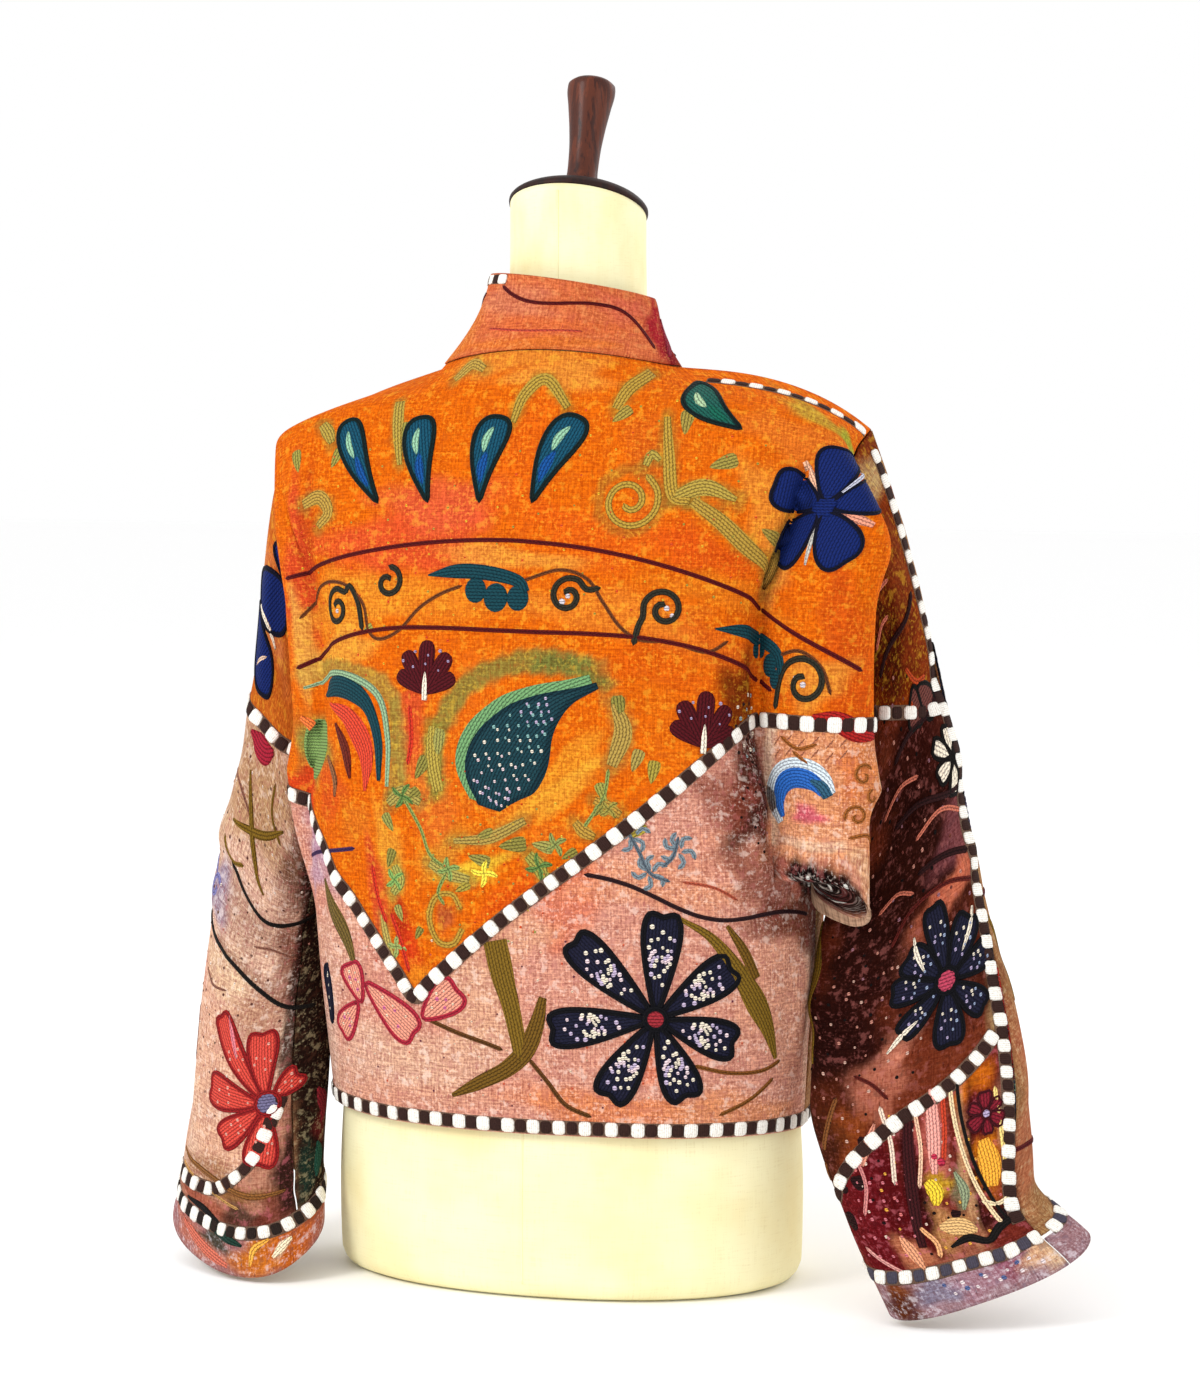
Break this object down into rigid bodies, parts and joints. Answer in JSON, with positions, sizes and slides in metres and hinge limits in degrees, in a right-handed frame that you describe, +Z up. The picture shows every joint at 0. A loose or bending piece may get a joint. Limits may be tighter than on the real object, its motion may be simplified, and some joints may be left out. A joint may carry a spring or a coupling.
{
  "type": "cropped patchwork jacket on a limbless dress form",
  "caption": "Cropped open-front jacket pieced from patterned cloth with checked trims, a stand collar and draped sleeves, worn by a limbless dress form with a turned wooden knob.",
  "frame": {"origin": "centre of the flat base of the dress form", "axes": "+Z up, the jacket's open front faces -Y, the wearer's left is +X"},
  "size_m": [0.6851, 0.2577, 0.8648],
  "materials": {
    "marigold_cloth": "matt woven cotton, mottled dye",
    "rose_cloth": "matt coarse weave, faded",
    "tan_cloth": "matt coarse weave, faded",
    "maroon_patch": "matt patched cloth",
    "mauve_cloth": "matt woven cotton",
    "salmon_cloth": "matt woven cotton",
    "checked_trim": "matt woven braid, dark and pale checks",
    "form_cover": "smooth stretched cover",
    "dark_wood": "dark polished wood",
    "red_wood": "red-brown polished wood"
  },
  "bodies": {
    "root": {"back_yoke": "marigold_cloth", "back_lower": "rose_cloth", "front_right": "tan_cloth", "front_left": "tan_cloth", "sleeve_head_right": "marigold_cloth", "sleeve_head_left": "marigold_cloth", "sleeve_back_right": "rose_cloth", "sleeve_back_left": "rose_cloth", "cuff_patch_right": "maroon_patch", "cuff_patch_left": "maroon_patch", "sleeve_front_right": "tan_cloth", "sleeve_front_left": "tan_cloth", "cuff_band_right": "mauve_cloth", "cuff_band_left": "mauve_cloth", "collar": "salmon_cloth", "trim_v": "checked_trim", "hem_binding_back": "checked_trim", "hem_binding_right": "checked_trim", "hem_binding_left": "checked_trim", "trim_front_right": "checked_trim", "trim_front_left": "checked_trim", "trim_shoulder_right": "checked_trim", "trim_shoulder_left": "checked_trim", "trim_overarm_right": "checked_trim", "trim_overarm_left": "checked_trim", "trim_joint_right": "checked_trim", "trim_joint_left": "checked_trim", "trim_patch_right": "checked_trim", "trim_patch_left": "checked_trim", "trim_cuff_right": "checked_trim", "trim_cuff_left": "checked_trim", "trim_collar": "checked_trim", "form_torso": "form_cover", "form_cap": "dark_wood", "form_finial": "red_wood"}
  },
  "joints": []
}
